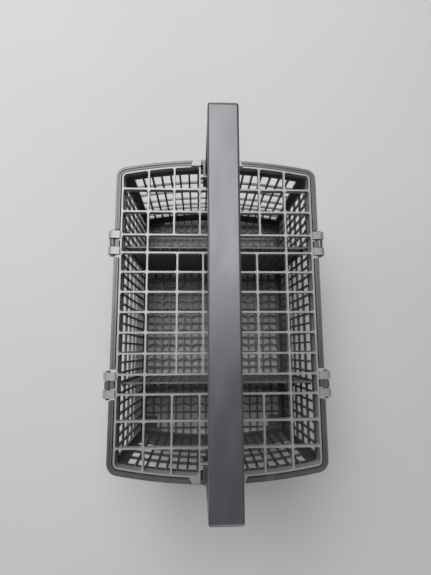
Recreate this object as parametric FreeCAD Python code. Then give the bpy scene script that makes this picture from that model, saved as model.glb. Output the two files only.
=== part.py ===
"""Dishwasher cutlery basket: open grille basket, two hinged lids, two dividers and a carrying handle.

Units are millimetres. X runs across the basket, Y along it and Z up. The origin is on the surface
that the basket stands on, under the middle of the basket.
"""
import FreeCAD, Part
import math
import os

from FreeCAD import Placement, Rotation, Vector

os.makedirs("parts", exist_ok=True)

# ---- overall sizes -------------------------------------------------------------------------
RIM_WIDTH = 155.6          # outside the rim, across
RIM_LENGTH = 240.0         # outside the rim, along, at the middle of the bowed ends
RIM_TOP = 120.0            # height of the rim above the table
HANDLE_TOP = 205.0         # height of the top of the handle

# ---- rim -----------------------------------------------------------------------------------
END_BOW = 7.0              # how far each end bulges between its corners
BOW_CHORD = 144.0          # width over which that bulge is measured
CORNER_R = 8.5             # outside corner of the rim
LIP_WIDTH = 3.4            # raised lip around the lids
LIP_STEP_WIDTH = 1.6       # inner part of the lip that is a little lower
LIP_STEP_DROP = 0.7
LEDGE_DROP = 7.0           # rim top down to the ledge that the lids lie over
LEDGE_THICK = 1.6
BAND_OFFSET = 4.4          # outer edge of the rim in to the outside of the wall
FIN_THICK = 0.9
FIN_DEEP = 1.2

# ---- walls and floor -----------------------------------------------------------------------
WALL = 1.8
DRAFT_SHIFT = 3.1          # how far each wall leans in from the band down to the base
PITCH = 7.38               # rib to rib, everywhere
RIB = 1.4
CORNER_CLOSED = 9.6        # least closed width between the rim's corner and the first window
CORNER_TAPER = 0.45        # how much the wall corners sharpen as they lean in
BAND_DROP = 12.0           # rim top down to the first row of windows
WINDOW_ROWS = (17.5, 16.5, 16.0, 13.5, 9.0, 9.0, 9.0)
FOOT_HEIGHT = 2.6
FOOT_SIZE = 11.0
FLOOR_THICK = 2.4
FLOOR_BORDER = 0.7
FLOOR_CELL_MIN = 1.6       # shortest window at the edge of the floor
ZIGZAG = 1.1               # every other cross rib of the floor wavers by this much

# ---- dividers ------------------------------------------------------------------------------
DIVIDER_Y = 52.0
DIVIDER_THICK = 1.5
DIVIDER_DROP = 11.5        # rim top down to the top of a divider
DIVIDER_GAP = 0.4          # divider to wall and floor
DIVIDER_RIB = 1.3          # how far its ribs stand out
DIVIDER_RIB_DROP = 0.5     # top of the divider down to its ribs
GUIDE_THICK = 1.2
GUIDE_DEEP = 2.0
GUIDE_GAP = 0.25

# ---- lids ----------------------------------------------------------------------------------
LID_GAP = 0.95             # lip to lid frame
LID_BAR = 1.3
LID_DEEP = 5.0
LID_FRAME_DEEP = 6.7
LID_MIDDLE_GAP = 1.7       # between the two lids
LID_CELL_R = 1.6
LID_BAR_1_IN = 25.0        # outer long bar, in from the rim's outside
LID_BAR_2_END = 33.0       # inner long bars, from the middle of the basket
LID_BAR_2_MIDDLE = 30.2
LID_BAR_3_MIDDLE = 10.8
LID_CROSS_SHARES = (0.0, 0.1254, 0.2513, 0.3754, 0.4917, 0.645, 0.7967)    # of half the length
SLOT_BAR = 3               # the cross bar where the wide slot for long handles starts
NOTCH_GAP = 0.35           # lid notch to handle socket
NOTCH_SIDE_GAP = 1.9
TAB_BASE = 7.8
TAB_TIP = 5.6
TAB_THICK = 1.4
TAB_GAP = 0.2
TAB_OUT = 1.1              # how far the tab's tip stands in from the rim's outermost line

# ---- hinges --------------------------------------------------------------------------------
HINGE_Y = 52.4
PIN_R = 1.5
PIN_CLEARANCE = 0.08
PIN_OUT = 1.2              # pin axis outside the rim
PIN_DROP = 1.5             # pin axis below the rim top
PIN_END = 1.2              # pin past the outer clip
CLIP_WALL = 1.72
CLIP_WIDTH = 5.6
CLIP_SLOT = 2.4
CLIP_ARM = 3.4
CLIP_SIDE_GAP = 0.8
BRACKET_WIDTH = 5.2
BRACKET_DEEP = 13.0
BRACKET_CLEAR = 0.4        # bracket to the lid as it swings

# ---- handle --------------------------------------------------------------------------------
HANDLE_WIDTH = 17.9
HANDLE_LEAN = 5.8          # how far each leg leans in from the rim up to the top
HANDLE_DEEP = 10.0
HANDLE_WALL = 2.0
HANDLE_CORNER_R = 3.0
HANDLE_EDGE_R = 1.3
HANDLE_RIB = 1.4
HANDLE_RIBS = 9
LEG_DEEP = 10.0
LEG_WAIST = 35.0           # height above the rim up to which the lids sweep past the leg
LEG_WAIST_LEAN = 0.7
LEG_INSERT = 22.0          # rim top down to the foot of the leg
GATE_R = 1.9
GATE_RING = 0.4
GATE_DEEP = 0.15
SOCKET_GAP = 0.2
SOCKET_WALL = 1.3
SOCKET_SIDE = 1.6
SOCKET_FLOOR = 1.6

# ---- worked out ----------------------------------------------------------------------------
HALF_W = RIM_WIDTH / 2
HALF_L = RIM_LENGTH / 2
BOW_R = ((BOW_CHORD / 2) ** 2 + END_BOW ** 2) / (2 * END_BOW)
LEDGE_TOP = RIM_TOP - LEDGE_DROP
BAND_BOTTOM = RIM_TOP - BAND_DROP
WALL_IN = BAND_OFFSET + WALL
WALL_HEIGHT = BAND_BOTTOM - FOOT_HEIGHT
DRAFT_ANGLE = math.degrees(math.atan2(DRAFT_SHIFT, WALL_HEIGHT))
SIDE_CELLS = 2 * int((HALF_L - END_BOW - CORNER_CLOSED) / PITCH)
END_CELLS = 2 * int((HALF_W - CORNER_CLOSED) / PITCH)
SIDE_SPLIT = SIDE_CELLS * PITCH / 2
END_SPLIT = END_CELLS * PITCH / 2
FLOOR_TOP = FOOT_HEIGHT + FLOOR_THICK
PIN_X = HALF_W + PIN_OUT
PIN_Z = RIM_TOP - PIN_DROP
CLIP_Y = BRACKET_WIDTH / 2 + CLIP_SIDE_GAP + CLIP_WIDTH / 2
NOTCH_HALF = CLIP_Y + CLIP_WIDTH / 2 + PIN_END + CLIP_SIDE_GAP
LID_OUT = LIP_WIDTH + LID_GAP
SOCKET_OUT_Y = HALF_L + 0.4
LEG_OUT_Y = SOCKET_OUT_Y - SOCKET_WALL - SOCKET_GAP
LEG_IN_Y = LEG_OUT_Y - LEG_DEEP
SOCKET_IN_Y = LEG_IN_Y - SOCKET_GAP - SOCKET_WALL
SOCKET_HALF = HANDLE_WIDTH / 2 + SOCKET_GAP + SOCKET_SIDE
HANDLE_TOP_LENGTH = 2 * (LEG_OUT_Y - HANDLE_LEAN)
LID_BAR_1 = HALF_W - LID_BAR_1_IN
LID_BAR_3_END = SOCKET_HALF + NOTCH_SIDE_GAP + LID_BAR / 2
LID_CROSS_BARS = tuple(share * HALF_L for share in LID_CROSS_SHARES)
CLIP_R = PIN_R + PIN_CLEARANCE + CLIP_WALL
NOTCH_Y = SOCKET_IN_Y - NOTCH_GAP
BIG = 2 * RIM_LENGTH


def box(x0, x1, y0, y1, z0, z1):
    """A box between two corners given as ranges."""
    return Part.makeBox(x1 - x0, y1 - y0, z1 - z0, Vector(x0, y0, z0))


def cylinder_y(radius, x, y0, y1, z):
    """A cylinder along Y."""
    return Part.makeCylinder(radius, y1 - y0, Vector(x, y0, z), Vector(0, 1, 0))


def fused(shapes):
    """One solid from touching or crossing shapes, without leftover seams."""
    return shapes[0].multiFuse(shapes[1:]).removeSplitter()


def mirrored_x(shape):
    """The same piece on the other side of the basket."""
    return shape.mirror(Vector(0, 0, 0), Vector(1, 0, 0))


def mirrored_y(shape):
    """The same piece at the other end of the basket."""
    return shape.mirror(Vector(0, 0, 0), Vector(0, 1, 0))


def bow_y(x, half_l, bow_r):
    """Y of a bowed end at a given X."""
    return half_l - bow_r + math.sqrt(bow_r ** 2 - x ** 2)


def corner_points(half_w, half_l, bow_r, corner_r):
    """Start, middle and end of the rounded corner at +X +Y, from the side to the end."""
    centre_y = half_l - bow_r
    fx = half_w - corner_r
    fy = centre_y + math.sqrt((bow_r - corner_r) ** 2 - fx ** 2)
    end_angle = math.atan2(fy - centre_y, fx)
    mid = Vector(fx + corner_r * math.cos(end_angle / 2), fy + corner_r * math.sin(end_angle / 2), 0)
    end = Vector(fx + corner_r * math.cos(end_angle), fy + corner_r * math.sin(end_angle), 0)
    return Vector(half_w, fy, 0), mid, end


def outline(half_w, half_l, bow_r, corner_r):
    """Closed wire: straight sides, bowed ends and rounded corners."""
    a, m, b = corner_points(half_w, half_l, bow_r, corner_r)

    def flip(p, sx, sy):
        return Vector(p.x * sx, p.y * sy, 0)

    top = Vector(0, half_l, 0)
    edges = [
        Part.LineSegment(flip(a, 1, -1), a).toShape(),
        Part.Arc(a, m, b).toShape(),
        Part.Arc(b, top, flip(b, -1, 1)).toShape(),
        Part.Arc(flip(b, -1, 1), flip(m, -1, 1), flip(a, -1, 1)).toShape(),
        Part.LineSegment(flip(a, -1, 1), flip(a, -1, -1)).toShape(),
        Part.Arc(flip(a, -1, -1), flip(m, -1, -1), flip(b, -1, -1)).toShape(),
        Part.Arc(flip(b, -1, -1), flip(top, 1, -1), flip(b, 1, -1)).toShape(),
        Part.Arc(flip(b, 1, -1), flip(m, 1, -1), flip(a, 1, -1)).toShape(),
    ]
    return Part.Wire(edges)


def rim_outline(inset):
    """The rim's outer outline, moved inwards."""
    return outline(HALF_W - inset, HALF_L - inset, BOW_R - inset, CORNER_R - inset)


def plate(wires, z0, z1):
    """A flat plate whose first wire is its edge and whose other wires are holes."""
    face = Part.makeFace(wires, "Part::FaceMakerBullseye")
    face.translate(Vector(0, 0, z0))
    return face.extrude(Vector(0, 0, z1 - z0))


def ring(inset_out, inset_in, z0, z1):
    """A frame that follows the rim between two insets."""
    return plate([rim_outline(inset_out), rim_outline(inset_in)], z0, z1)


def rectangle(x0, x1, y0, y1):
    """A closed rectangular wire."""
    corners = [Vector(x0, y0, 0), Vector(x1, y0, 0), Vector(x1, y1, 0), Vector(x0, y1, 0)]
    return Part.makePolygon(corners + corners[:1])


def row_heights():
    """Bottom and top of each row of windows, from the top row down."""
    rows = []
    top = BAND_BOTTOM
    for height in WINDOW_ROWS:
        rows.append((top - height + RIB, top))
        top -= height
    return rows


# ---- basket moulding -----------------------------------------------------------------------
def rim_ring():
    """The whole rim: lip, ledge, band and the fins under the ledge."""
    step = LIP_WIDTH - LIP_STEP_WIDTH
    ledge_bottom = LEDGE_TOP - LEDGE_THICK
    rim = fused([
        ring(0.0, step, ledge_bottom, RIM_TOP),
        ring(step, LIP_WIDTH, ledge_bottom, RIM_TOP - LIP_STEP_DROP),
        ring(LIP_WIDTH, WALL_IN, ledge_bottom, LEDGE_TOP),
        ring(BAND_OFFSET, WALL_IN, BAND_BOTTOM, ledge_bottom),
    ])
    return fused([rim] + band_fins())


def band_fins():
    """Small upright fins inside the band, one over each rib."""
    fins = []
    reach = WALL_IN + FIN_DEEP
    inner = plate([rim_outline(reach)], BAND_BOTTOM, LEDGE_TOP)
    z0, z1 = BAND_BOTTOM, LEDGE_TOP - LEDGE_THICK
    for k in range(END_CELLS - 1):
        x = (k + 1) * PITCH - END_SPLIT
        if abs(x) < SOCKET_HALF + FIN_THICK:
            continue
        y = bow_y(x, HALF_L - BAND_OFFSET, BOW_R - BAND_OFFSET)
        fin = box(x - FIN_THICK / 2, x + FIN_THICK / 2, y - 2 * reach, y - WALL / 2, z0, z1).cut(inner)
        fins += [fin, mirrored_y(fin)]
    for k in range(SIDE_CELLS - 1):
        y = (k + 1) * PITCH - SIDE_SPLIT
        x1 = HALF_W - BAND_OFFSET - WALL / 2
        fin = box(HALF_W - reach, x1, y - FIN_THICK / 2, y + FIN_THICK / 2, z0, z1)
        fins += [fin, mirrored_x(fin)]
    return fins


def hinge_notches():
    """What the lid clips need cut out of the lip."""
    cut = box(HALF_W - BAND_OFFSET, HALF_W + 1, HINGE_Y - NOTCH_HALF, HINGE_Y + NOTCH_HALF,
              LEDGE_TOP - LEDGE_THICK - 1, RIM_TOP + 1)
    return [cut, mirrored_x(cut), mirrored_y(cut), mirrored_x(mirrored_y(cut))]


def socket_block(grow=0.0):
    """Outer shape of the handle socket at +Y."""
    z0 = RIM_TOP - LEG_INSERT - SOCKET_FLOOR - grow
    return box(-SOCKET_HALF, SOCKET_HALF, SOCKET_IN_Y, SOCKET_OUT_Y + grow, z0, RIM_TOP + grow)


def handle_socket():
    """Pocket in the end of the rim that holds a leg of the handle."""
    pocket = box(-HANDLE_WIDTH / 2 - SOCKET_GAP, HANDLE_WIDTH / 2 + SOCKET_GAP,
                 LEG_IN_Y - SOCKET_GAP, LEG_OUT_Y + SOCKET_GAP, RIM_TOP - LEG_INSERT, RIM_TOP + 1)
    return socket_block().cut(pocket)


def side_wall():
    """Grille of the long wall at +X, leaning in towards the base."""
    length = WALL_HEIGHT / math.cos(math.radians(DRAFT_ANGLE)) + WALL
    wires = [rectangle(-SIDE_SPLIT, SIDE_SPLIT, -length, WALL)]
    for z0, z1 in row_heights():
        for k in range(SIDE_CELLS):
            y = (k + 0.5) * PITCH - SIDE_SPLIT
            half = (PITCH - RIB) / 2
            wires.append(rectangle(y - half, y + half, z0 - BAND_BOTTOM, z1 - BAND_BOTTOM))
    panel = plate(wires, 0, WALL)
    panel.Placement = Placement(Vector(0, 0, 0), Rotation(Vector(0, 1, 0), Vector(0, 0, 1), Vector(1, 0, 0)))
    panel.rotate(Vector(0, 0, 0), Vector(0, 1, 0), DRAFT_ANGLE)
    panel.translate(Vector(HALF_W - WALL_IN, 0, BAND_BOTTOM))
    return panel.common(box(0, BIG, -BIG, BIG, FOOT_HEIGHT, BAND_BOTTOM))


def end_wall():
    """Grille of the bowed end wall at +Y, leaning in towards the base."""
    half_l = HALF_L - BAND_OFFSET
    bow_r = BOW_R - BAND_OFFSET
    outer = outline(HALF_W, half_l, bow_r, CORNER_R)
    inner = outline(HALF_W - WALL, half_l - WALL, bow_r - WALL, CORNER_R - WALL)
    shell = plate([outer, inner], -WALL_HEIGHT - WALL, WALL)
    shell = shell.common(box(-END_SPLIT, END_SPLIT, 0, BIG, -BIG, BIG))
    half = (PITCH - RIB) / 2
    cuts = []
    for z0, z1 in row_heights():
        for k in range(END_CELLS):
            x = (k + 0.5) * PITCH - END_SPLIT
            cuts.append(box(x - half, x + half, 0, BIG, z0 - BAND_BOTTOM, z1 - BAND_BOTTOM))
    shell = shell.cut(Part.makeCompound(cuts))
    shell.rotate(Vector(0, half_l - WALL, 0), Vector(1, 0, 0), -DRAFT_ANGLE)
    shell.translate(Vector(0, 0, BAND_BOTTOM))
    return shell.common(box(-BIG, BIG, 0, BIG, FOOT_HEIGHT, BAND_BOTTOM)).cut(socket_block())


def corner_section(shift, z):
    """Closed section of the corner post at +X +Y, moved in by the draft at height z."""
    points = []
    for inset in (BAND_OFFSET, WALL_IN):
        half_w, half_l, bow_r = HALF_W - inset - shift, HALF_L - inset - shift, BOW_R - inset
        a, m, b = corner_points(half_w, half_l, bow_r, CORNER_R - inset - CORNER_TAPER * shift)
        start = Vector(half_w, SIDE_SPLIT, 0)
        stop = Vector(END_SPLIT, bow_y(END_SPLIT, half_l, bow_r), 0)
        points.append((start, a, m, b, stop))
    (s0, a0, m0, b0, e0), (s1, a1, m1, b1, e1) = points
    wire = Part.Wire([
        Part.LineSegment(s0, a0).toShape(),
        Part.Arc(a0, m0, b0).toShape(),
        Part.LineSegment(b0, e0).toShape(),
        Part.LineSegment(e0, e1).toShape(),
        Part.LineSegment(e1, b1).toShape(),
        Part.Arc(b1, m1, a1).toShape(),
        Part.LineSegment(a1, s1).toShape(),
        Part.LineSegment(s1, s0).toShape(),
    ])
    wire.translate(Vector(0, 0, z))
    return wire


def corner_post(rim):
    """Closed corner at +X +Y with the rim's corner on top."""
    sections = [corner_section(DRAFT_SHIFT, FOOT_HEIGHT), corner_section(0.0, BAND_BOTTOM)]
    post = Part.makeLoft(sections, True, True)
    rim_corner = rim.common(box(END_SPLIT, BIG, SIDE_SPLIT, BIG, 0, BIG))
    return fused([post, rim_corner])


def floor_rib_y(row, column):
    """Y of a cross rib of the floor where it meets a long rib."""
    y = row * PITCH - SIDE_SPLIT
    if row % 2 == 0 or row == SIDE_CELLS:
        return y
    return y + (ZIGZAG if column % 2 else -ZIGZAG)


def floor_grille():
    """Flat floor between the walls, with a grid of windows and wavering cross ribs."""
    shift = WALL_IN + DRAFT_SHIFT
    half_l, bow_r = HALF_L - shift, BOW_R - WALL_IN
    wires = [outline(HALF_W - shift, half_l, bow_r, CORNER_R - WALL_IN - CORNER_TAPER * DRAFT_SHIFT)]
    half = RIB / 2
    for column in range(END_CELLS):
        x0 = column * PITCH - END_SPLIT + half
        x1 = (column + 1) * PITCH - END_SPLIT - half
        for row in range(SIDE_CELLS):
            wires.append(Part.makePolygon([
                Vector(x0, floor_rib_y(row, column) + half, 0),
                Vector(x1, floor_rib_y(row, column + 1) + half, 0),
                Vector(x1, floor_rib_y(row + 1, column + 1) - half, 0),
                Vector(x0, floor_rib_y(row + 1, column) - half, 0),
                Vector(x0, floor_rib_y(row, column) + half, 0)]))
        for side in (-1, 1):
            y0 = SIDE_SPLIT + half
            ya = bow_y(x0, half_l, bow_r) - FLOOR_BORDER
            yb = bow_y(x1, half_l, bow_r) - FLOOR_BORDER
            if min(ya, yb) - y0 < FLOOR_CELL_MIN:
                continue
            wires.append(Part.makePolygon([
                Vector(x0, side * y0, 0), Vector(x1, side * y0, 0), Vector(x1, side * yb, 0),
                Vector(x0, side * ya, 0), Vector(x0, side * y0, 0)]))
    return plate(wires, FOOT_HEIGHT, FLOOR_TOP)


def feet():
    """Four small square feet under the floor."""
    x = END_SPLIT - FOOT_SIZE / 2
    y = SIDE_SPLIT - FOOT_SIZE / 2
    half = FOOT_SIZE / 2
    pads = []
    for sx in (-1, 1):
        for sy in (-1, 1):
            pad = box(sx * x - half, sx * x + half, sy * y - half, sy * y + half, 0, FOOT_HEIGHT)
            upright = [e for e in pad.Edges if abs(e.tangentAt(e.FirstParameter).z) > 0.9]
            pads.append(pad.makeFillet(FOOT_SIZE / 5, upright))
    return Part.makeCompound(pads)


# ---- dividers ------------------------------------------------------------------------------
def wall_shift(z):
    """How far the walls have leaned in at height z."""
    return DRAFT_SHIFT * max(0.0, BAND_BOTTOM - z) / WALL_HEIGHT


def divider():
    """Upright sheet across the basket at +Y, with upright ribs on both faces."""
    top = RIM_TOP - DIVIDER_DROP
    bottom = FLOOR_TOP + DIVIDER_GAP
    half_top = HALF_W - WALL_IN - DIVIDER_GAP - wall_shift(top)
    half_bottom = HALF_W - WALL_IN - DIVIDER_GAP - wall_shift(bottom)
    corners = [Vector(-half_bottom, 0, bottom), Vector(half_bottom, 0, bottom), Vector(half_top, 0, top),
               Vector(-half_top, 0, top)]
    sheet = Part.Face(Part.makePolygon(corners + corners[:1])).extrude(Vector(0, DIVIDER_THICK, 0))
    sheet.translate(Vector(0, DIVIDER_Y - DIVIDER_THICK / 2, 0))
    reach = DIVIDER_THICK / 2 + DIVIDER_RIB
    last = int((half_bottom - GUIDE_DEEP - GUIDE_GAP - FIN_THICK) / PITCH)
    shapes = [sheet]
    for k in range(-last, last + 1):
        x = k * PITCH
        shapes.append(box(x - FIN_THICK / 2, x + FIN_THICK / 2, DIVIDER_Y - reach, DIVIDER_Y + reach,
                          bottom, top - DIVIDER_RIB_DROP))
    return fused(shapes)


def divider_guides():
    """Two upright ribs on each long wall that hold the divider at +Y."""
    z0, z1 = FLOOR_TOP, RIM_TOP - DIVIDER_DROP - GUIDE_DEEP
    x0 = HALF_W - WALL_IN - wall_shift(z0)
    x1 = HALF_W - WALL_IN - wall_shift(z1)
    corners = [Vector(x, 0, z) for x, z in ((x0 - GUIDE_DEEP, z0), (x0, z0), (x1, z1), (x1 - GUIDE_DEEP, z1))]
    rib = Part.Face(Part.makePolygon(corners + corners[:1])).extrude(Vector(0, GUIDE_THICK, 0))
    near = DIVIDER_THICK / 2 + GUIDE_GAP
    ribs = []
    for y in (DIVIDER_Y - near - GUIDE_THICK, DIVIDER_Y + near):
        one = rib.copy()
        one.translate(Vector(0, y, 0))
        ribs += [one, mirrored_x(one)]
    return Part.makeCompound(ribs)


# ---- hinges --------------------------------------------------------------------------------
def hinge_bracket():
    """Block on the wall at +X +Y that carries the hinge pin."""
    y0, y1 = HINGE_Y - BRACKET_WIDTH / 2, HINGE_Y + BRACKET_WIDTH / 2
    wall_x = HALF_W - BAND_OFFSET
    low_z = PIN_Z - BRACKET_DEEP
    step_z = LEDGE_TOP - BRACKET_CLEAR
    arm = box(wall_x, PIN_X, y0, y1, low_z, step_z)
    slope = Part.Face(Part.makePolygon([
        Vector(wall_x, y0, low_z), Vector(PIN_X, y0, low_z), Vector(PIN_X, y0, step_z),
        Vector(wall_x, y0, low_z)]))
    arm = arm.cut(slope.extrude(Vector(0, BRACKET_WIDTH, 0)))
    head = box(HALF_W - LIP_WIDTH, PIN_X, y0, y1, step_z - BRACKET_CLEAR, PIN_Z + PIN_R)
    eye = cylinder_y(CLIP_R - WALL / 2, PIN_X, y0, y1, PIN_Z)
    pin_hole = cylinder_y(PIN_R, PIN_X, y0 - 1, y1 + 1, PIN_Z)
    return fused([arm, head, eye]).cut(pin_hole)


def hinge_pin():
    """Pin at +X +Y that both clips of a hinge snap onto."""
    half = CLIP_Y + CLIP_WIDTH / 2 + PIN_END
    return cylinder_y(PIN_R, PIN_X, HINGE_Y - half, HINGE_Y + half, PIN_Z)


def hinge_clip(y):
    """Open clip of the lid at +X, centred at y."""
    y0, y1 = y - CLIP_WIDTH / 2, y + CLIP_WIDTH / 2
    barrel = cylinder_y(CLIP_R, PIN_X, y0, y1, PIN_Z)
    frame_x = HALF_W - LID_OUT
    arm = box(frame_x, PIN_X, y0, y1, PIN_Z + CLIP_R - CLIP_ARM, PIN_Z + CLIP_R)
    bore = cylinder_y(PIN_R + PIN_CLEARANCE, PIN_X, y0 - 1, y1 + 1, PIN_Z)
    slot = box(PIN_X - CLIP_SLOT / 2, PIN_X + CLIP_SLOT / 2, y0 - 1, y1 + 1, PIN_Z - 2 * CLIP_R, PIN_Z)
    return fused([barrel, arm]).cut(bore).cut(slot)


def lid_clips():
    """The four clips of the lid at +X."""
    clips = [hinge_clip(side * (HINGE_Y + offset)) for side in (-1, 1) for offset in (-CLIP_Y, CLIP_Y)]
    return Part.makeCompound(clips)


# ---- lids ----------------------------------------------------------------------------------
def lid_cell(x0, x1, y0, y1, inner):
    """Cutter for one cell of the lid grille, with its upright corners rounded."""
    cell = box(x0, x1, y0, y1, RIM_TOP - 2 * LID_FRAME_DEEP, RIM_TOP + 1).common(inner)
    radius = min(LID_CELL_R, (x1 - x0) / 3, (y1 - y0) / 3)
    upright = [edge for edge in cell.Edges if edge.BoundBox.XLength < 1e-6 and edge.BoundBox.YLength < 1e-6]
    return cell.makeFillet(radius, upright)


def lid_cells(inner):
    """Cutters for every cell of the lid at +X on the +Y side of the middle."""
    half = LID_BAR / 2
    lid_edge = LID_MIDDLE_GAP / 2 + LID_BAR
    frame = HALF_W - LID_OUT - LID_BAR
    middle = (lid_edge, LID_BAR_3_MIDDLE, LID_BAR_2_MIDDLE, LID_BAR_1, frame)
    slot = (lid_edge, LID_BAR_1, frame)
    ends = (lid_edge, LID_BAR_3_END, LID_BAR_2_END, LID_BAR_1, frame)
    tops = LID_CROSS_BARS + (BIG,)
    cells = []
    for row in range(len(LID_CROSS_BARS)):
        bars = middle if row < SLOT_BAR else slot if row == SLOT_BAR else ends
        y0, y1 = tops[row] + half, tops[row + 1] - half
        for column in range(len(bars) - 1):
            x0 = bars[column] + (half if column else 0.0)
            x1 = bars[column + 1] - (half if column < len(bars) - 2 else 0.0)
            inside_notch = row == len(LID_CROSS_BARS) - 1 and column == 0
            cells.append(lid_cell(x0, x1, y0, NOTCH_Y - LID_BAR if inside_notch else y1, inner))
    return cells


def lid_grille():
    """Grille of the lid at +X: frame, bars and the notch for each leg of the handle."""
    blank = ring_region(LID_OUT, RIM_TOP - LID_FRAME_DEEP)
    thin = ring_region(LID_OUT + LID_BAR, RIM_TOP - LID_FRAME_DEEP)
    shallow = box(0, BIG, -BIG, BIG, RIM_TOP - LID_FRAME_DEEP - 1, RIM_TOP - LID_DEEP).common(thin)
    middle = box(-BIG, LID_MIDDLE_GAP / 2, -BIG, BIG, 0, BIG)
    notch_x = LID_BAR_3_END - LID_BAR / 2
    notch = box(-1, notch_x, NOTCH_Y, BIG, 0, BIG)
    lid = blank.cut(middle).cut(notch).cut(mirrored_y(notch)).cut(shallow)
    cells = lid_cells(ring_region(LID_OUT + LID_BAR, RIM_TOP - 2 * LID_FRAME_DEEP))
    cuts = []
    for cell in cells:
        cuts += [cell, mirrored_y(cell)]
    return lid.cut(Part.makeCompound(cuts)).removeSplitter()


def ring_region(inset, z0):
    """Everything inside the rim's outline at an inset, from z0 to the rim top."""
    return plate([rim_outline(inset)], z0, RIM_TOP)


def lid_tabs():
    """Finger tabs at the inner corners of the lid at +X, which lie over the rim."""
    x0 = LID_BAR_3_END - LID_BAR / 2
    y_base = bow_y(x0 + TAB_BASE, HALF_L - LID_OUT, BOW_R - LID_OUT) - LID_BAR / 2
    y_tip = HALF_L - TAB_OUT
    z0 = RIM_TOP
    corners = [Vector(x0, y_base, z0), Vector(x0 + TAB_BASE, y_base, z0), Vector(x0 + TAB_TIP, y_tip, z0),
               Vector(x0, y_tip, z0)]
    face = Part.Face(Part.makePolygon(corners + corners[:1]))
    tab = face.extrude(Vector(0, 0, TAB_THICK + TAB_GAP))
    seat = plate([rim_outline(LID_OUT)], RIM_TOP - 1, RIM_TOP + 1)
    clear = box(-BIG, BIG, -BIG, BIG, RIM_TOP - 1, RIM_TOP + TAB_GAP).cut(seat)
    tab = tab.cut(clear)
    return Part.makeCompound([tab, mirrored_y(tab)])


# ---- handle --------------------------------------------------------------------------------
def handle_profile(inset):
    """Closed side view of the handle, or of the hollow under its skin when inset is above zero."""
    top_z = HANDLE_TOP - inset
    top_y = HANDLE_TOP_LENGTH / 2 - inset
    foot_z = RIM_TOP - LEG_INSERT
    knee_z = RIM_TOP
    lean = (LEG_OUT_Y - inset) - top_y
    rise = top_z - knee_z
    corner = Vector(0, top_y, top_z)
    down = Vector(0, lean, -rise).normalize()
    turn = math.atan2(rise, lean)
    radius = HANDLE_CORNER_R - inset * 0.5
    reach = radius / math.tan((math.pi - turn) / 2) if inset == 0 else radius * math.tan(turn / 2)
    start = corner + down * reach
    stop = corner + Vector(0, -reach, 0)
    bisector = (down + Vector(0, -1, 0)).normalize()
    half_angle = math.acos(max(-1.0, min(1.0, bisector.dot(down))))
    centre_distance = reach / math.cos(half_angle)
    arc_radius = reach * math.tan(half_angle)
    middle = corner + bisector * (centre_distance - arc_radius)
    under_z = HANDLE_TOP - HANDLE_DEEP
    under_y = HANDLE_TOP_LENGTH / 2 - LEG_DEEP + 2 * HANDLE_EDGE_R
    waist_z = knee_z + LEG_WAIST
    right = [
        Vector(0, LEG_OUT_Y - inset, foot_z),
        Vector(0, LEG_OUT_Y - inset, knee_z),
        start, middle, stop,
    ]
    inner = [
        Vector(0, under_y, under_z),
        Vector(0, LEG_IN_Y - LEG_WAIST_LEAN, waist_z),
        Vector(0, LEG_IN_Y, knee_z),
        Vector(0, LEG_IN_Y, foot_z),
    ]

    def flip(p):
        return Vector(0, -p.y, p.z)

    edges = [
        Part.LineSegment(right[0], right[1]).toShape(),
        Part.LineSegment(right[1], right[2]).toShape(),
        Part.Arc(right[2], right[3], right[4]).toShape(),
        Part.LineSegment(right[4], flip(right[4])).toShape(),
        Part.Arc(flip(right[4]), flip(right[3]), flip(right[2])).toShape(),
        Part.LineSegment(flip(right[2]), flip(right[1])).toShape(),
        Part.LineSegment(flip(right[1]), flip(right[0])).toShape(),
    ]
    path = [flip(right[0])] + [flip(p) for p in reversed(inner)] + inner + [right[0]]
    edges += [Part.LineSegment(a, b).toShape() for a, b in zip(path, path[1:])]
    return Part.Wire(edges)


def handle_ribs(hollow):
    """Cross ribs under the skin of the handle."""
    ribs = []
    span = HANDLE_TOP_LENGTH - 2 * LEG_DEEP
    for k in range(HANDLE_RIBS):
        y = span * (k / (HANDLE_RIBS - 1) - 0.5)
        ribs.append(box(-HANDLE_WIDTH / 2, HANDLE_WIDTH / 2, y - HANDLE_RIB / 2, y + HANDLE_RIB / 2,
                        HANDLE_TOP - HANDLE_DEEP, HANDLE_TOP))
    for z in (RIM_TOP + LEG_WAIST / 2, RIM_TOP + LEG_WAIST, HANDLE_TOP - 2 * HANDLE_DEEP):
        low, high = z - HANDLE_RIB / 2, z + HANDLE_RIB / 2
        ribs.append(box(-HANDLE_WIDTH / 2, HANDLE_WIDTH / 2, -BIG, BIG, low, high))
    return [rib.common(hollow) for rib in ribs]


def handle():
    """Carrying handle: a channel that is open underneath, with its legs in the sockets."""
    body = Part.Face(handle_profile(0.0)).extrude(Vector(HANDLE_WIDTH, 0, 0))
    body.translate(Vector(-HANDLE_WIDTH / 2, 0, 0))
    long_edges = []
    for edge in body.Edges:
        a, b = edge.Vertexes[0].Point, edge.Vertexes[-1].Point
        on_side = abs(abs(a.x) - HANDLE_WIDTH / 2) < 1e-6 and abs(a.x - b.x) < 1e-6
        outside = min(a.z, b.z) >= RIM_TOP - 1e-6 and all(outside_handle(p) for p in (a, b))
        if on_side and outside:
            long_edges.append(edge)
    body = body.makeFillet(HANDLE_EDGE_R, long_edges)
    hollow_width = HANDLE_WIDTH - 2 * HANDLE_WALL
    hollow = Part.Face(handle_profile(HANDLE_WALL)).extrude(Vector(hollow_width, 0, 0))
    hollow.translate(Vector(-hollow_width / 2, 0, 0))
    gate = Part.makeCylinder(GATE_R, GATE_DEEP, Vector(0, 0, HANDLE_TOP - GATE_DEEP))
    gate = gate.cut(Part.makeCylinder(GATE_R - GATE_RING, GATE_DEEP, Vector(0, 0, HANDLE_TOP - GATE_DEEP)))
    return fused([body.cut(hollow)] + handle_ribs(hollow)).cut(gate)


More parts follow.
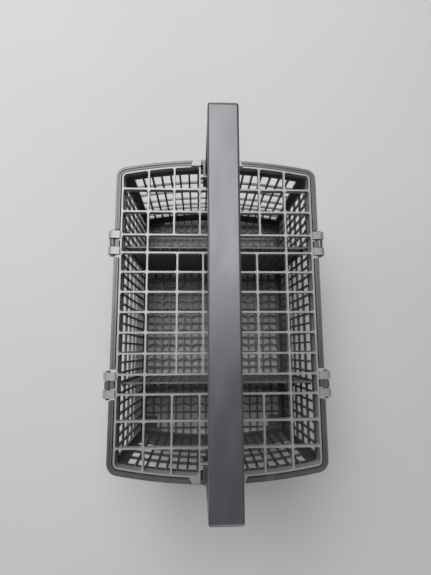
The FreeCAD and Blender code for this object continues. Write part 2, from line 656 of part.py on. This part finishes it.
def handle_parts():
    """The handle's grip and its two legs, which meet at the underside of the grip."""
    whole = handle()
    split = HANDLE_TOP - HANDLE_DEEP
    return {
        "carrying_handle_grip": whole.common(box(-BIG, BIG, -BIG, BIG, split, BIG)),
        "carrying_handle_rear_leg": whole.common(box(-BIG, BIG, 0, BIG, 0, split)),
        "carrying_handle_front_leg": whole.common(box(-BIG, BIG, -BIG, 0, 0, split)),
    }


def outside_handle(point):
    """True for a corner of the handle's outer side."""
    rise = (point.z - RIM_TOP) / (HANDLE_TOP - RIM_TOP)
    outer = LEG_OUT_Y + (HANDLE_TOP_LENGTH / 2 - LEG_OUT_Y) * rise
    return abs(abs(point.y) - outer) < HANDLE_CORNER_R / 3 or point.z > HANDLE_TOP - 1e-6


# ---- assembly ------------------------------------------------------------------------------
def four_ways(name, shape):
    """Copies of a piece at +X +Y for all four corners, by name."""
    return {
        name + "_right_rear": shape,
        name + "_left_rear": mirrored_x(shape),
        name + "_right_front": mirrored_y(shape),
        name + "_left_front": mirrored_x(mirrored_y(shape)),
    }


def build():
    """Every node of the basket by name."""
    rim = rim_ring().cut(Part.makeCompound(hinge_notches()))
    rim = rim.cut(socket_block(1.0).cut(box(-BIG, BIG, 0, SOCKET_IN_Y, 0, BIG)))
    rim = rim.cut(mirrored_y(socket_block(1.0)))
    side_rail = rim.common(box(0, BIG, -SIDE_SPLIT, SIDE_SPLIT, 0, BIG))
    end_rail = rim.common(box(-END_SPLIT, END_SPLIT, 0, BIG, 0, BIG))
    side = side_wall()
    end = end_wall()
    nodes = {
        "right_rim_rail": side_rail,
        "left_rim_rail": mirrored_x(side_rail),
        "rear_rim_rail": end_rail,
        "front_rim_rail": mirrored_y(end_rail),
        "right_wall_grille": side,
        "left_wall_grille": mirrored_x(side),
        "rear_wall_grille": end,
        "front_wall_grille": mirrored_y(end),
        "floor_grille": floor_grille(),
        "base_feet": feet(),
        "rear_divider": divider(),
        "front_divider": mirrored_y(divider()),
        "rear_divider_guides": divider_guides(),
        "front_divider_guides": mirrored_y(divider_guides()),
        "rear_handle_socket": handle_socket(),
        "front_handle_socket": mirrored_y(handle_socket()),
        "right_lid_grille": lid_grille(),
        "right_lid_hinge_clips": lid_clips(),
        "right_lid_finger_tabs": lid_tabs(),
    }
    for part in ("grille", "hinge_clips", "finger_tabs"):
        nodes["left_lid_" + part] = mirrored_x(nodes["right_lid_" + part])
    nodes.update(handle_parts())
    nodes.update(four_ways("corner_post", corner_post(rim)))
    nodes.update(four_ways("hinge_bracket", hinge_bracket()))
    nodes.update(four_ways("hinge_pin", hinge_pin()))
    return nodes


def main():
    """Builds the basket and writes one STEP file for each node."""
    for name, shape in build().items():
        shape.exportStep("parts/" + name + ".step")
        print(name, "solids", len(shape.Solids), "valid", shape.isValid(), "volume", round(shape.Volume, 1))


main()
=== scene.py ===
"""Looks of the dishwasher cutlery basket: its mouldings, their plastics, the table and the light.

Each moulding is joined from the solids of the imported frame, gets rounded edges, and is dressed in
a procedural plastic. All lengths are metres, in the frame of the CAD model.
"""

import logging
import math
from dataclasses import dataclass, field
from enum import Enum
from typing import Any

import bmesh
import bpy
from mathutils import Euler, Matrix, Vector

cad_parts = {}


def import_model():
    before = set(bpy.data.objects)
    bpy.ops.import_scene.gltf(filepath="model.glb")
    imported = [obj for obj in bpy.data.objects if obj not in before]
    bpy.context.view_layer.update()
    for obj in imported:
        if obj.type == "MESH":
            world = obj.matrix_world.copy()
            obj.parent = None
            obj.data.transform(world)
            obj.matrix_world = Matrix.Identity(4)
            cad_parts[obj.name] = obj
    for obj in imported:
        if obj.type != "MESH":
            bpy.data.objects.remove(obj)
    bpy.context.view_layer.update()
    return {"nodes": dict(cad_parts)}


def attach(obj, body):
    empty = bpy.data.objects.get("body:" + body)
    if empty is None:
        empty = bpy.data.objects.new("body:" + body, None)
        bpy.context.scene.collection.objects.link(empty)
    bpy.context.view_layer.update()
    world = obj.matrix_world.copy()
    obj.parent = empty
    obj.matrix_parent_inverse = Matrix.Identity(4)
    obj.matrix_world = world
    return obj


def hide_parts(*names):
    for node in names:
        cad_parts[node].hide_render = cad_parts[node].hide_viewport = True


frame: dict[str, Any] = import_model()
MM = 0.001
# Mark of the rounded edges, which are painted paler: partly scuffing, partly painted highlight.
EDGE_ATTRIBUTE = "edge_wear_and_highlight"
LOG = logging.getLogger("cutlery_basket")

CLOUD_SIZE = 46 * MM
FLOW_SIZE = 9 * MM
SPECK_SIZE = 1.3 * MM
# Size of the patches in the paler edge colour, which is partly scuffing and partly painted highlight.
WEAR_AND_HIGHLIGHT_PATCH = 4.5 * MM
SINK_SIZE = 24 * MM
SINK_DEPTH = 0.05 * MM
FILM_COLOUR = (0.62, 0.62, 0.60)
# How much paler the rounded edges are painted: partly scuffing, partly painted highlight.
WORN_AND_HIGHLIT_SHADE = 2.6
PLASTIC_IOR = 1.55
LIT_POINT = (0.0, 0.0, 0.1)


class Body(Enum):
    """The rigid bodies that pieces ride on."""

    BASKET = "basket"
    LEFT_LID = "left_lid"
    RIGHT_LID = "right_lid"


class Slot(Enum):
    """The record's material slots."""

    BASKET = "basket_plastic"
    HANDLE = "handle_plastic"
    LID = "lid_plastic"
    DIVIDER = "divider_plastic"


class NodeTable:
    """Adds shader nodes to a material and wires them.

    Attributes:
        tree: the material's node tree.
        shader: its Principled shader.
        place: object coordinates, which every pattern reads.
    """

    def __init__(self, material: bpy.types.Material) -> None:
        """Empties the material's nodes and starts with a shader.

        Args:
            material: the material to build.
        """
        material.use_nodes = True
        self.tree = material.node_tree
        self.tree.nodes.clear()
        output = self.add("ShaderNodeOutputMaterial")
        self.shader = self.add("ShaderNodeBsdfPrincipled")
        self.link(self.shader.outputs["BSDF"], output.inputs["Surface"])
        self.place = self.add("ShaderNodeTexCoord").outputs["Object"]

    def add(self, kind: str) -> bpy.types.ShaderNode:
        """Adds a node of the given type."""
        return self.tree.nodes.new(kind)

    def link(self, source: bpy.types.NodeSocket, target: bpy.types.NodeSocket) -> None:
        """Wires one socket to another."""
        self.tree.links.new(source, target)

    def noise(self, size: float, detail: float = 3.0, roughness: float = 0.5,
              stretch: tuple[float, float, float] = (1.0, 1.0, 1.0)) -> bpy.types.NodeSocket:
        """Adds a noise pattern.

        Args:
            size: rough size of one blotch, in metres.
            detail: how many finer layers it has.
            roughness: how strong the finer layers are.
            stretch: scale of the pattern along each axis.

        Returns:
            A value around 0.5 that varies over the surface.
        """
        mapping = self.add("ShaderNodeMapping")
        mapping.inputs["Scale"].default_value = stretch
        self.link(self.place, mapping.inputs["Vector"])
        pattern = self.add("ShaderNodeTexNoise")
        pattern.inputs["Scale"].default_value = 1.0 / size
        pattern.inputs["Detail"].default_value = detail
        pattern.inputs["Roughness"].default_value = roughness
        self.link(mapping.outputs["Vector"], pattern.inputs["Vector"])
        return pattern.outputs["Fac"]

    def remap(self, value: bpy.types.NodeSocket, low: float, high: float,
              to_low: float, to_high: float) -> bpy.types.NodeSocket:
        """Maps a range of a value to another range and clamps it.

        Args:
            value: the value to map.
            low: start of its range.
            high: end of its range.
            to_low: what the start becomes.
            to_high: what the end becomes.

        Returns:
            The mapped value.
        """
        node = self.add("ShaderNodeMapRange")
        for name, number in (("From Min", low), ("From Max", high), ("To Min", to_low), ("To Max", to_high)):
            node.inputs[name].default_value = number
        self.link(value, node.inputs["Value"])
        return node.outputs["Result"]

    def times(self, a: bpy.types.NodeSocket, b: bpy.types.NodeSocket) -> bpy.types.NodeSocket:
        """Multiplies two values."""
        node = self.add("ShaderNodeMath")
        node.operation = "MULTIPLY"
        self.link(a, node.inputs[0])
        self.link(b, node.inputs[1])
        return node.outputs[0]

    def plus(self, a: bpy.types.NodeSocket, b: bpy.types.NodeSocket) -> bpy.types.NodeSocket:
        """Adds two values."""
        node = self.add("ShaderNodeMath")
        node.operation = "ADD"
        self.link(a, node.inputs[0])
        self.link(b, node.inputs[1])
        return node.outputs[0]

    def mix(self, factor: bpy.types.NodeSocket, first: Any, second: Any) -> bpy.types.NodeSocket:
        """Blends two colours.

        Args:
            factor: share of the second colour.
            first: a colour or a socket.
            second: a colour or a socket.

        Returns:
            The blended colour.
        """
        node = self.add("ShaderNodeMix")
        node.data_type = "RGBA"
        self.link(factor, node.inputs[0])
        for socket, value in ((node.inputs[6], first), (node.inputs[7], second)):
            if isinstance(value, tuple):
                socket.default_value = (*value, 1.0)
            else:
                self.link(value, socket)
        return node.outputs[2]

    def bump(self, height: bpy.types.NodeSocket, depth: float,
             under: bpy.types.NodeSocket | None = None) -> bpy.types.NodeSocket:
        """Turns a height pattern into a normal.

        Args:
            height: the pattern.
            depth: height of its tallest point, in metres.
            under: a normal to build on.

        Returns:
            The disturbed normal.
        """
        node = self.add("ShaderNodeBump")
        node.inputs["Distance"].default_value = depth
        self.link(height, node.inputs["Height"])
        if under is not None:
            self.link(under, node.inputs["Normal"])
        return node.outputs["Normal"]


@dataclass(frozen=True)
class MouldedPlastic:
    """Finish of a moulded polypropylene piece.

    Attributes:
        name: name of the material.
        base: main colour.
        clouding: how far the colour drifts over the piece.
        scale_film: share of pale lime film that dishwashing leaves.
        rubbed_and_highlit: how much paler the edges are painted, partly for scuffing and partly as painted
            highlight.
        roughness: mean roughness.
        shine: strength of the reflections.
        grain: size of the mould's spark-eroded grain.
        grain_depth: its depth.
    """

    name: str
    base: tuple[float, float, float]
    clouding: float = 0.10
    scale_film: float = 0.10
    rubbed_and_highlit: float = 0.16
    roughness: float = 0.42
    shine: float = 0.5
    grain: float = 0.55 * MM
    grain_depth: float = 0.012 * MM

    def shade(self, factor: float) -> tuple[float, float, float]:
        """The main colour, made lighter or darker."""
        red, green, blue = self.base
        return (red * factor, green * factor, blue * factor)

    def build(self) -> bpy.types.Material:
        """Makes the material.

        Returns:
            The material, with colour, film, paler edges (partly scuffing, partly painted highlight),
            roughness and grain from its nodes.
        """
        material = bpy.data.materials.new(self.name)
        nodes = NodeTable(material)
        clouds = nodes.noise(CLOUD_SIZE, 3.0, 0.55)
        body = nodes.mix(nodes.remap(clouds, 0.3, 0.7, 0.0, 1.0),
                         self.shade(1 - self.clouding), self.shade(1 + self.clouding))
        flow = nodes.noise(FLOW_SIZE, 4.0, 0.6, (1.0, 0.35, 1.0))
        specks = nodes.remap(nodes.noise(SPECK_SIZE, 2.0), 0.35, 0.7, 0.35, 1.0)
        film = nodes.times(nodes.remap(flow, 0.5, 0.78, 0.0, self.scale_film), specks)
        filmed = nodes.mix(film, body, FILM_COLOUR)
        edge = nodes.add("ShaderNodeAttribute")
        edge.attribute_name = EDGE_ATTRIBUTE
        # Rounded edges painted paler: light scuffing on most pieces, and on the lids a strong painted
        # highlight for the light that their thin bars catch.
        patchy = nodes.remap(nodes.noise(WEAR_AND_HIGHLIGHT_PATCH, 3.0, 0.6), 0.3, 0.7, 0.25 * self.rubbed_and_highlit, self.rubbed_and_highlit)
        wear_and_highlight = nodes.times(edge.outputs["Fac"], patchy)
        worn_and_highlit = nodes.mix(wear_and_highlight, filmed, self.shade(WORN_AND_HIGHLIT_SHADE))
        nodes.link(worn_and_highlit, nodes.shader.inputs["Base Color"])
        rough = nodes.plus(nodes.remap(flow, 0.25, 0.75, self.roughness - 0.06, self.roughness + 0.07),
                           nodes.remap(wear_and_highlight, 0.0, 1.0, 0.0, -0.35))
        nodes.link(rough, nodes.shader.inputs["Roughness"])
        grain = nodes.bump(nodes.noise(self.grain, 2.0, 0.5), self.grain_depth)
        sink = nodes.bump(nodes.noise(SINK_SIZE, 1.0), SINK_DEPTH, grain)
        nodes.link(sink, nodes.shader.inputs["Normal"])
        nodes.shader.inputs["IOR"].default_value = PLASTIC_IOR
        nodes.shader.inputs["Specular IOR Level"].default_value = self.shine
        return material


BASKET_PLASTIC = MouldedPlastic("basket_polypropylene", (0.052, 0.0520, 0.056), roughness=0.38,
                                shine=0.7)
HANDLE_PLASTIC = MouldedPlastic("handle_polypropylene", (0.050, 0.052, 0.060), clouding=0.05,
                                scale_film=0.03, roughness=0.33, shine=0.75)
# The lids' base colour is painted much lighter than the basket's grey, as painted highlight for the light
# that their thin bars catch, and their rounded edges are painted much paler still as painted highlight.
LID_PLASTIC = MouldedPlastic("lid_polypropylene", (0.225, 0.226, 0.230), clouding=0.06, rubbed_and_highlit=0.85,
                             roughness=0.34, shine=0.8)
DIVIDER_PLASTIC = MouldedPlastic("divider_polypropylene", (0.115, 0.117, 0.128), roughness=0.38)


@dataclass
class Moulding:
    """One moulded piece, joined from solids of the frame.

    Attributes:
        name: name of the piece.
        body: the body that it rides on.
        slot: the record's material slot; not used.
        finish: the plastic.
        nodes: the solids that it is joined from and stands for.
        edge_radius: radius of its moulded edges.
        sharp_angle: edges that turn more than this are rounded.
        merge_distance: corners of one solid that are nearer than this are one.
        flat_angle: faces that turn less than this are one face.
        smooth_angle: edges that turn more than this stay sharp in the shading.
        segments: faces across a rounded edge.
    """

    name: str
    body: Body
    slot: Slot
    finish: MouldedPlastic
    nodes: list[str]
    edge_radius: float = 0.25 * MM
    sharp_angle: float = math.radians(30)
    merge_distance: float = 0.001 * MM
    flat_angle: float = math.radians(1)
    smooth_angle: float = math.radians(40)
    segments: int = 2

    def solid(self, node: str) -> bpy.types.Object:
        """Copies one solid of the frame as a closed mesh.

        Args:
            node: name of the solid.

        Returns:
            The copy.
        """
        source = frame["nodes"][node]
        copy = bpy.data.objects.new(self.name + "." + node, source.data.copy())
        bpy.context.scene.collection.objects.link(copy)
        copy.data.materials.clear()
        shape = bmesh.new()
        shape.from_mesh(copy.data)
        bmesh.ops.remove_doubles(shape, verts=shape.verts, dist=self.merge_distance)
        shape.to_mesh(copy.data)
        shape.free()
        return copy

    def joined(self) -> bpy.types.Mesh:
        """Joins the solids into one closed skin.

        Returns:
            The mesh of the whole moulding.
        """
        solids = [self.solid(node) for node in self.nodes]
        whole = solids[0]
        for other in solids[1:]:
            union = whole.modifiers.new(other.name, "BOOLEAN")
            union.operation = "UNION"
            union.solver = "MANIFOLD"
            union.object = other
        graph = bpy.context.evaluated_depsgraph_get()
        mesh = bpy.data.meshes.new_from_object(whole.evaluated_get(graph))
        for solid in solids:
            old = solid.data
            bpy.data.objects.remove(solid)
            bpy.data.meshes.remove(old)
        return mesh

    def round_edges(self, mesh: bpy.types.Mesh) -> None:
        """Merges flat areas, rounds the moulded edges and marks them for the paler edge colour, which is
        partly scuffing and partly painted highlight.

        Args:
            mesh: the skin to finish.
        """
        shape = bmesh.new()
        shape.from_mesh(mesh)
        wear_and_highlight = shape.faces.layers.float.new(EDGE_ATTRIBUTE)
        bmesh.ops.dissolve_limit(shape, angle_limit=self.flat_angle, verts=shape.verts, edges=shape.edges)
        sharp = [edge for edge in shape.edges
                 if edge.is_manifold and edge.calc_face_angle() > self.sharp_angle]
        made = bmesh.ops.bevel(shape, geom=sharp, offset=self.edge_radius, offset_type="OFFSET",
                               affect="EDGES", segments=self.segments, profile=0.5, material=-1,
                               clamp_overlap=True)
        # The rounded faces are marked for the paler edge colour: partly scuffing, partly painted highlight.
        for face in made["faces"]:
            face[wear_and_highlight] = 1.0
        for face in shape.faces:
            face.smooth = True
        shape.to_mesh(mesh)
        shape.free()
        mesh.set_sharp_from_angle(angle=self.smooth_angle)

    def build(self) -> bpy.types.Object:
        """Makes the piece, dresses it and puts it on its body.

        Returns:
            The finished piece.
        """
        mesh = self.joined()
        self.round_edges(mesh)
        mesh.name = self.name
        piece = bpy.data.objects.new(self.name, mesh)
        bpy.context.scene.collection.objects.link(piece)
        mesh.materials.clear()
        mesh.materials.append(self.finish.build())
        weighted = piece.modifiers.new("face_weighted_normals", "WEIGHTED_NORMAL")
        weighted.keep_sharp = True
        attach(piece, self.body.value)
        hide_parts(*self.nodes)
        LOG.info("%s: %d faces from %d solids", self.name, len(mesh.polygons), len(self.nodes))
        return piece


def nodes_named(*words: str) -> list[str]:
    """Finds solids of the frame.

    Args:
        words: a solid is taken when its name holds any of them.

    Returns:
        Their names, in order.
    """
    return sorted(name for name in frame["nodes"] if any(word in name for word in words))


@dataclass
class CutleryBasket:
    """All mouldings of the cutlery basket."""

    pieces: list[bpy.types.Object] = field(default_factory=list)

    def mouldings(self) -> list[Moulding]:
        """Lists the mouldings.

        Returns:
            The basket, the handle, both lids and both dividers.
        """
        basket = nodes_named("rim_rail", "wall_grille", "floor_grille", "base_feet", "guides", "socket",
                             "corner_post", "hinge_bracket", "hinge_pin")
        return [
            Moulding("basket_moulding", Body.BASKET, Slot.BASKET, BASKET_PLASTIC, basket),
            Moulding("handle_moulding", Body.BASKET, Slot.HANDLE, HANDLE_PLASTIC,
                     nodes_named("carrying_handle"), edge_radius=0.5 * MM),
            Moulding("left_lid_moulding", Body.LEFT_LID, Slot.LID, LID_PLASTIC, nodes_named("left_lid")),
            Moulding("right_lid_moulding", Body.RIGHT_LID, Slot.LID, LID_PLASTIC, nodes_named("right_lid")),
            Moulding("rear_divider_panel", Body.BASKET, Slot.DIVIDER, DIVIDER_PLASTIC, ["rear_divider"]),
            Moulding("front_divider_panel", Body.BASKET, Slot.DIVIDER, DIVIDER_PLASTIC, ["front_divider"]),
        ]

    def build(self) -> None:
        """Makes every moulding."""
        for moulding in self.mouldings():
            self.pieces.append(moulding.build())


@dataclass(frozen=True)
class SoftLight:
    """A square light that faces the basket.

    Attributes:
        name: its name.
        place: where it is.
        size: its side.
        power: its power in watts.
        colour: its colour.
    """

    name: str
    place: tuple[float, float, float]
    size: float
    power: float
    colour: tuple[float, float, float]

    def build(self) -> None:
        """Makes the light and turns it towards the basket."""
        light = bpy.data.lights.new(self.name, "AREA")
        light.shape = "SQUARE"
        light.size = self.size
        light.energy = self.power
        light.color = self.colour
        lamp = bpy.data.objects.new(self.name, light)
        bpy.context.scene.collection.objects.link(lamp)
        lamp.location = self.place
        towards = Vector(LIT_POINT) - Vector(self.place)
        lamp.rotation_euler = towards.to_track_quat("-Z", "Y").to_euler()


LIGHTS = (
    SoftLight("overhead_panel", (-0.24, 0.66, 1.62), 1.25, 31.0, (0.985, 0.988, 1.0)),
    SoftLight("far_window", (-0.45, 1.60, 0.95), 1.1, 9.0, (1.0, 0.99, 0.98)),
    SoftLight("side_window", (-1.15, 0.35, 0.80), 0.8, 4.0, (0.97, 0.985, 1.0)),
    SoftLight("near_fill", (0.50, -1.80, 0.40), 1.2, 10.0, (1.0, 0.985, 0.97)),
)


@dataclass
class Studio:
    """The table, the light and the camera."""

    table_size: float = 6.0
    table_colour: tuple[float, float, float] = (0.530, 0.518, 0.512)
    world_strength: float = 0.06
    lens: float = 24.69
    camera_place: tuple[float, float, float] = (-0.0132, -0.0277, 0.411)
    camera_turn: tuple[float, float, float] = (8.99, -2.25, -0.28)

    def build(self) -> None:
        """Makes the whole studio."""
        bpy.context.scene.view_settings.view_transform = "Standard"
        self.build_table()
        self.build_world()
        for light in LIGHTS:
            light.build()
        self.build_camera()

    def build_table(self) -> None:
        """Makes the pale table top."""
        shape = bmesh.new()
        bmesh.ops.create_grid(shape, x_segments=1, y_segments=1, size=self.table_size / 2)
        mesh = bpy.data.meshes.new("table_top")
        shape.to_mesh(mesh)
        shape.free()
        table = bpy.data.objects.new("table_top", mesh)
        bpy.context.scene.collection.objects.link(table)
        material = bpy.data.materials.new("pale_table")
        nodes = NodeTable(material)
        red, green, blue = self.table_colour
        cloud = nodes.remap(nodes.noise(0.12, 3.0), 0.3, 0.7, 0.0, 1.0)
        nodes.link(nodes.mix(cloud, (red * 0.985, green * 0.985, blue * 0.98), self.table_colour),
                   nodes.shader.inputs["Base Color"])
        rough = nodes.remap(nodes.noise(0.03, 4.0), 0.3, 0.7, 0.66, 0.74)
        nodes.link(rough, nodes.shader.inputs["Roughness"])
        nodes.shader.inputs["Specular IOR Level"].default_value = 0.25
        mesh.materials.append(material)

    def build_world(self) -> None:
        """Makes the dim room."""
        world = bpy.data.worlds.new("room")
        bpy.context.scene.world = world
        world.use_nodes = True
        background = world.node_tree.nodes["Background"]
        background.inputs["Color"].default_value = (0.93, 0.95, 1.0, 1.0)
        background.inputs["Strength"].default_value = self.world_strength

    def build_camera(self) -> None:
        """Puts the camera above the basket."""
        camera = bpy.data.cameras.new("camera")
        camera.lens = self.lens
        camera.sensor_width = 36.0
        camera.clip_start = 0.01
        holder = bpy.data.objects.new("camera", camera)
        bpy.context.scene.collection.objects.link(holder)
        holder.location = self.camera_place
        holder.rotation_euler = Euler([math.radians(angle) for angle in self.camera_turn], "XYZ")
        bpy.context.scene.camera = holder


def main() -> None:
    """Builds the basket and the studio."""
    logging.basicConfig(level=logging.INFO, format="%(name)s: %(message)s")
    CutleryBasket().build()
    Studio().build()


if __name__ == "__main__":
    main()
